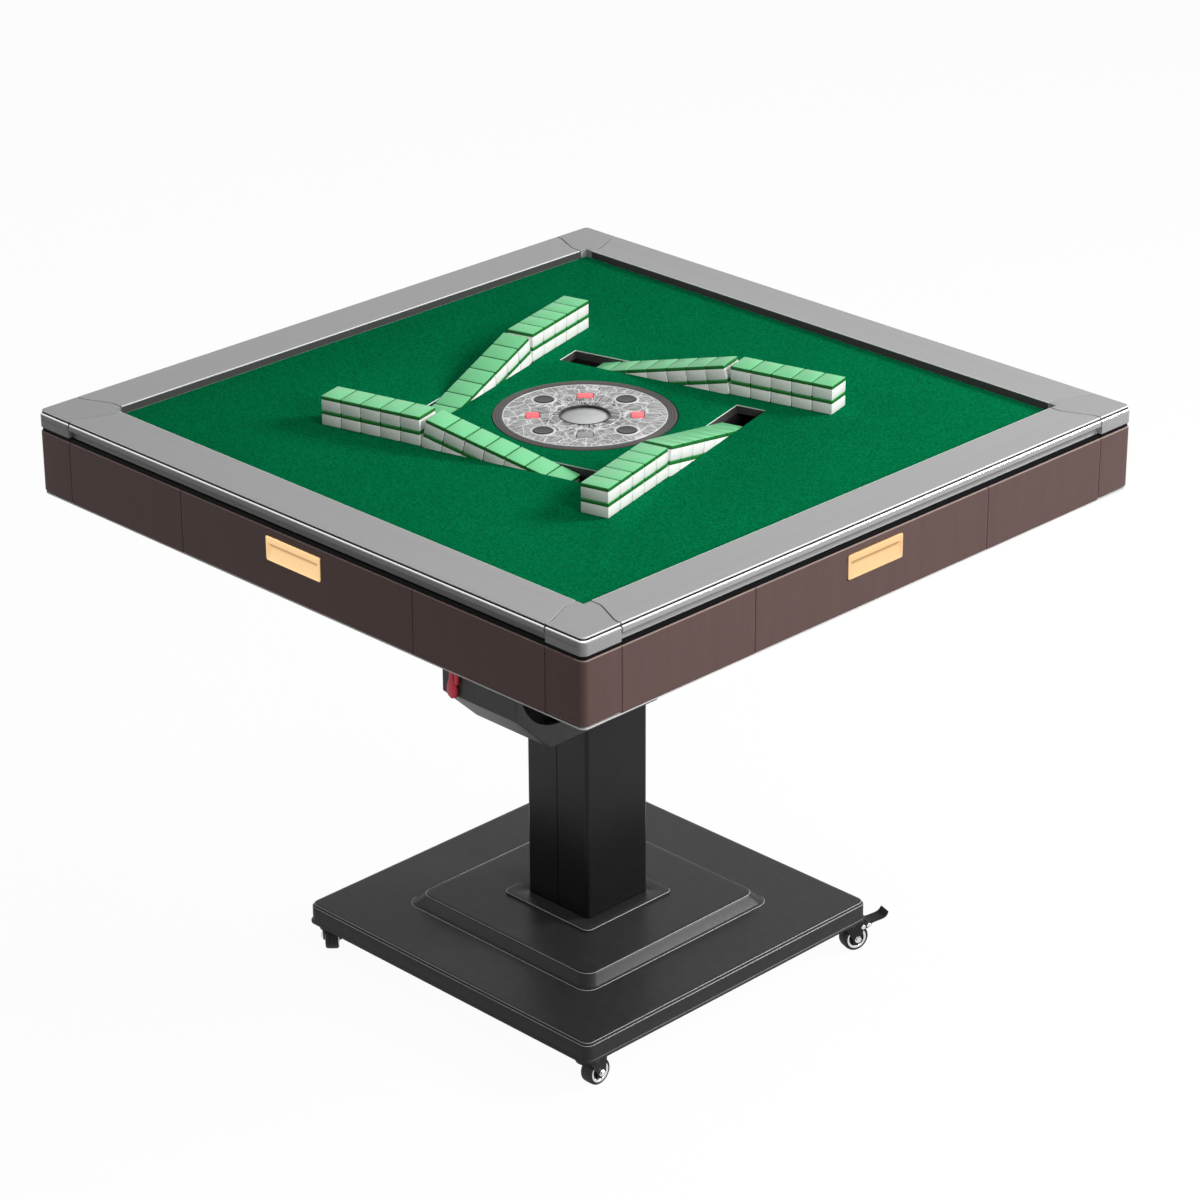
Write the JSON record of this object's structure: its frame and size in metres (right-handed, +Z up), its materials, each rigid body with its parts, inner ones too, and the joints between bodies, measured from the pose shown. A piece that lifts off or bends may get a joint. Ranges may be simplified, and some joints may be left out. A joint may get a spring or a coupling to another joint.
{
  "type": "automatic mahjong table",
  "caption": "Square game table on a folding column stand with casters; a lift under the cloth brings walls of tiles up ramps round a dice console.",
  "frame": {"origin": "on the floor under the middle of the table top", "axes": "+Z up, +X to the right of the front side, -Y towards the player at the front"},
  "size_m": [1.003, 1.003, 0.834],
  "materials": {
    "frame_grey": "fine brushed, satin",
    "felt_green": "short-napped cloth",
    "apron_brown": "satin brown laminate",
    "pull_gold": "satin anodised gold",
    "black_paint": "fine textured black powder coat",
    "black_plastic": "moulded black",
    "bare_steel": "zinc plated",
    "tray_grey": "light grey paint",
    "board_wood": "raw board",
    "tile_white": "polished white",
    "tile_green": "polished green",
    "console_dark": "dark grey",
    "console_silver": "silver with a veined relief",
    "dome_clear": "clear moulded",
    "button_dark": "dark",
    "signal_red": "translucent red",
    "lever_red": "red moulded",
    "caster_tyre": "black",
    "caster_chrome": "bright plated",
    "pad_rubber": "black"
  },
  "bodies": {
    "base": {"base_plate": "bare_steel", "base_cover": "black_paint", "column_flange": "black_paint", "column_tube": "bare_steel", "column_cover_left": "black_paint", "column_cover_right": "black_paint", "head_shell": "black_plastic", "head_plate": "bare_steel", "rest_pads": "pad_rubber", "power_inlet": "black_plastic"},
    "release_lever": {"release_lever": "lever_red"},
    "top": {"frame_rails": "frame_grey", "frame_corners": "frame_grey", "apron_posts": "apron_brown", "apron_panels": "apron_brown", "chassis_frame": "bare_steel", "table_board": "board_wood", "felt": "felt_green", "under_tray": "tray_grey", "hinge_leaf": "bare_steel", "tile_ramps": "black_plastic", "tile_bodies": "tile_white", "tile_backs": "tile_green", "mix_motor": "bare_steel", "control_box": "black_plastic"},
    "console": {"console_ring": "console_dark", "console_face": "console_silver", "dice_dome": "dome_clear", "signal_windows": "signal_red", "lift_carriage": "black_plastic"},
    "dice_plate": {"dice_plate": "tile_white"},
    "lead_screw": {"lead_screw": "bare_steel"},
    "turntable": {"turntable": "black_plastic"},
    "drive_roller": {"drive_roller": "pad_rubber"},
    "caster_front_right": {"caster_fork_front_right": "caster_chrome"},
    "wheel_front_right": {"caster_wheel_front_right": "caster_tyre"},
    "caster_back_right": {"caster_fork_back_right": "caster_chrome"},
    "wheel_back_right": {"caster_wheel_back_right": "caster_tyre"},
    "pedal_back_right": {"brake_pedal_back_right": "black_plastic"},
    "caster_back_left": {"caster_fork_back_left": "caster_chrome"},
    "wheel_back_left": {"caster_wheel_back_left": "caster_tyre"},
    "pedal_back_left": {"brake_pedal_back_left": "black_plastic"},
    "caster_front_left": {"caster_fork_front_left": "caster_chrome"},
    "wheel_front_left": {"caster_wheel_front_left": "caster_tyre"},
    "drawer_front": {"drawer_front": "apron_brown", "drawer_pull_front": "pull_gold"},
    "drawer_right": {"drawer_right": "apron_brown", "drawer_pull_right": "pull_gold"},
    "drawer_back": {"drawer_back": "apron_brown", "drawer_pull_back": "pull_gold"},
    "drawer_left": {"drawer_left": "apron_brown", "drawer_pull_left": "pull_gold"},
    "pusher_front": {"tile_pusher_front": "console_dark"},
    "pusher_right": {"tile_pusher_right": "console_dark"},
    "pusher_back": {"tile_pusher_back": "console_dark"},
    "pusher_left": {"tile_pusher_left": "console_dark"},
    "button_right": {"console_button_right": "button_dark"},
    "button_back": {"console_button_back": "button_dark"},
    "button_left": {"console_button_left": "button_dark"},
    "button_front": {"console_button_front": "button_dark"}
  },
  "joints": [
    {"name": "caster_swivel_front_right", "type": "hinge", "parent": "base", "child": "caster_front_right", "pos_m": [0.249, -0.249, 0.0487], "axis": [0, 0, 1], "continuous": true},
    {"name": "wheel_spin_front_right", "type": "hinge", "parent": "caster_front_right", "child": "wheel_front_right", "pos_m": [0.249, -0.235, 0.019], "axis": [-1, 0, 0], "continuous": true},
    {"name": "caster_swivel_back_right", "type": "hinge", "parent": "base", "child": "caster_back_right", "pos_m": [0.249, 0.249, 0.0487], "axis": [0, 0, 1], "continuous": true},
    {"name": "wheel_spin_back_right", "type": "hinge", "parent": "caster_back_right", "child": "wheel_back_right", "pos_m": [0.25333, 0.26231, 0.019], "axis": [-0.9511, 0.309, 0], "continuous": true},
    {"name": "brake_back_right", "type": "hinge", "parent": "caster_back_right", "child": "pedal_back_right", "pos_m": [0.25858, 0.27848, 0.037], "axis": [-0.9511, 0.309, 0], "range_deg": [0, 20]},
    {"name": "caster_swivel_back_left", "type": "hinge", "parent": "base", "child": "caster_back_left", "pos_m": [-0.249, 0.249, 0.0487], "axis": [0, 0, 1], "continuous": true},
    {"name": "wheel_spin_back_left", "type": "hinge", "parent": "caster_back_left", "child": "wheel_back_left", "pos_m": [-0.242, 0.26112, 0.019], "axis": [-0.866, 0.5, 0], "continuous": true},
    {"name": "brake_back_left", "type": "hinge", "parent": "caster_back_left", "child": "pedal_back_left", "pos_m": [-0.2335, 0.27585, 0.037], "axis": [-0.866, 0.5, 0], "range_deg": [0, 20]},
    {"name": "caster_swivel_front_left", "type": "hinge", "parent": "base", "child": "caster_front_left", "pos_m": [-0.249, -0.249, 0.0487], "axis": [0, 0, 1], "continuous": true},
    {"name": "wheel_spin_front_left", "type": "hinge", "parent": "caster_front_left", "child": "wheel_front_left", "pos_m": [-0.2589, -0.2391, 0.019], "axis": [-0.7071, -0.7071, 0], "continuous": true},
    {"name": "lever_turn", "type": "hinge", "parent": "base", "child": "release_lever", "pos_m": [-0.0473, -0.197, 0.5125], "axis": [0, 1, 0], "range_deg": [0, 45]},
    {"name": "top_fold", "type": "hinge", "parent": "base", "child": "top", "pos_m": [0, 0.1165, 0.676], "axis": [-1, 0, 0], "range_deg": [0, 90]},
    {"name": "drawer_slide_front", "type": "slide", "parent": "top", "child": "drawer_front", "axis": [0, -1, 0], "range_m": [0, 0.11]},
    {"name": "drawer_slide_right", "type": "slide", "parent": "top", "child": "drawer_right", "axis": [1, 0, 0], "range_m": [0, 0.11]},
    {"name": "drawer_slide_back", "type": "slide", "parent": "top", "child": "drawer_back", "axis": [0, 1, 0], "range_m": [0, 0.11]},
    {"name": "drawer_slide_left", "type": "slide", "parent": "top", "child": "drawer_left", "axis": [-1, 0, 0], "range_m": [0, 0.11]},
    {"name": "pusher_slide_front", "type": "slide", "parent": "top", "child": "pusher_front", "axis": [0.9404, 0.252, -0.2284], "range_m": [0, 0.055]},
    {"name": "pusher_slide_right", "type": "slide", "parent": "top", "child": "pusher_right", "axis": [-0.252, 0.9404, -0.2284], "range_m": [0, 0.055]},
    {"name": "pusher_slide_back", "type": "slide", "parent": "top", "child": "pusher_back", "axis": [-0.9404, -0.252, -0.2284], "range_m": [0, 0.055]},
    {"name": "pusher_slide_left", "type": "slide", "parent": "top", "child": "pusher_left", "axis": [0.252, -0.9404, -0.2284], "range_m": [0, 0.055]},
    {"name": "console_lift", "type": "slide", "parent": "top", "child": "console", "axis": [0, 0, 1], "range_m": [0, 0.05]},
    {"name": "screw_turn", "type": "hinge", "parent": "top", "child": "lead_screw", "pos_m": [0, 0, 0.7], "axis": [0, 0, 1], "range_deg": [0, 1805]},
    {"name": "dice_spin", "type": "hinge", "parent": "console", "child": "dice_plate", "pos_m": [0, 0, 0.775], "axis": [0, 0, 1], "continuous": true},
    {"name": "button_press_right", "type": "slide", "parent": "console", "child": "button_right", "axis": [0, 0, -1], "range_m": [0, 0.0012], "stiffness_N_per_m": 400, "springref_m": -0.002},
    {"name": "button_press_back", "type": "slide", "parent": "console", "child": "button_back", "axis": [0, 0, -1], "range_m": [0, 0.0012], "stiffness_N_per_m": 400, "springref_m": -0.002},
    {"name": "button_press_left", "type": "slide", "parent": "console", "child": "button_left", "axis": [0, 0, -1], "range_m": [0, 0.0012], "stiffness_N_per_m": 400, "springref_m": -0.002},
    {"name": "button_press_front", "type": "slide", "parent": "console", "child": "button_front", "axis": [0, 0, -1], "range_m": [0, 0.0012], "stiffness_N_per_m": 400, "springref_m": -0.002},
    {"name": "turntable_spin", "type": "hinge", "parent": "top", "child": "turntable", "pos_m": [0, 0, 0.703], "axis": [0, 0, 1], "continuous": true},
    {"name": "roller_spin", "type": "hinge", "parent": "top", "child": "drive_roller", "pos_m": [0.05518, -0.23901, 0.703], "axis": [0, 0, 1], "continuous": true}
  ],
  "couplings": [
    {"joint": "screw_turn", "follows": "console_lift", "rad_per_m": 628.32},
    {"joint": "roller_spin", "follows": "turntable_spin", "ratio": -11.25}
  ]
}
